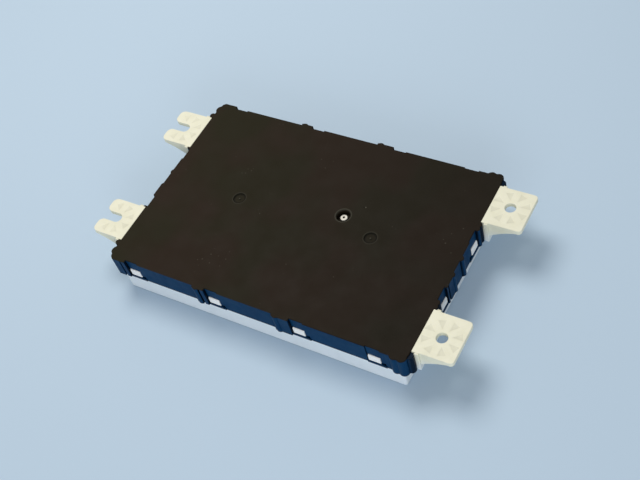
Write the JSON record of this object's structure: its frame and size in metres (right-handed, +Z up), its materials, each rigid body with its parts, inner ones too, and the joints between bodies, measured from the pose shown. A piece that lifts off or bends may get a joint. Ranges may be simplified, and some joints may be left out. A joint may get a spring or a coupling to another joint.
{
  "type": "prismatic battery cell",
  "caption": "Flat lithium-ion prismatic cell in a snap-together plastic case, with bolt-down and forked mounting lugs, a lift-off top panel and recessed rear terminals.",
  "frame": {"origin": "centre of the case's underside, under the middle of the whole outline with its lugs", "axes": "+X along the length towards the lugs with round holes, +Y towards the long side with the terminals, +Z up out of the top panel"},
  "size_m": [0.2474, 0.136, 0.03],
  "materials": {
    "case_white": "satin moulded",
    "case_navy": "satin moulded",
    "panel_dark": "fine matt texture",
    "zinc_steel": "zinc plated",
    "aluminium": "satin",
    "copper": "satin copper",
    "nickel": "satin nickel",
    "brass": "machined",
    "seal_rubber": "matt",
    "insulator_black": "moulded",
    "terminal_red": "moulded",
    "film_blue": "gloss film",
    "clear_film": "gloss film",
    "electrode": "coated foil under separator",
    "foam_grey": "open foam",
    "gap_pad": "soft silicone",
    "board_green": "solder mask",
    "chip_black": "moulded"
  },
  "bodies": {
    "case": {"tray": "case_white", "cover_frame": "case_navy", "tie_bar": "zinc_steel", "cell_can": "aluminium", "cell_lid": "aluminium", "vent_disc": "aluminium", "vent_film": "clear_film", "fill_plug": "aluminium", "lid_insulator": "insulator_black", "can_film": "film_blue", "positive_terminal": "aluminium", "negative_terminal": "copper", "positive_seal": "seal_rubber", "negative_seal": "seal_rubber", "positive_insulator": "insulator_black", "negative_insulator": "insulator_black", "positive_collector": "aluminium", "negative_collector": "copper", "jelly_roll_lower": "electrode", "jelly_roll_upper": "electrode", "thermal_pad": "gap_pad", "foam_pad_left": "foam_grey", "foam_pad_right": "foam_grey", "end_pad_left": "foam_grey", "end_pad_right": "foam_grey", "front_pad": "foam_grey", "positive_busbar": "copper", "negative_busbar": "copper", "positive_terminal_block": "terminal_red", "negative_terminal_block": "insulator_black", "positive_insert": "brass", "negative_insert": "brass", "sense_board": "board_green", "board_chips": "chip_black", "sense_socket": "insulator_black", "sense_pins": "nickel", "positive_sense_link": "nickel", "negative_sense_link": "nickel", "thermistor": "insulator_black", "thermistor_strip": "clear_film"},
    "panel": {"top_panel": "panel_dark"},
    "screw": {"panel_screw": "zinc_steel"},
    "positive_screw": {"positive_cable_screw": "zinc_steel"},
    "negative_screw": {"negative_cable_screw": "zinc_steel"}
  },
  "joints": [
    {"name": "panel_lift", "type": "slide", "parent": "case", "child": "panel", "axis": [0, 0, 1], "range_m": [0, 0.04]},
    {"name": "panel_screw_turn", "type": "hinge", "parent": "panel", "child": "screw", "pos_m": [0.0226, 0.0094, 0.027], "axis": [0, 0, 1], "continuous": true},
    {"name": "positive_screw_turn", "type": "hinge", "parent": "case", "child": "positive_screw", "pos_m": [-0.056, 0.052, 0.014], "axis": [0, 1, 0], "continuous": true},
    {"name": "negative_screw_turn", "type": "hinge", "parent": "case", "child": "negative_screw", "pos_m": [0.056, 0.052, 0.014], "axis": [0, 1, 0], "continuous": true}
  ]
}
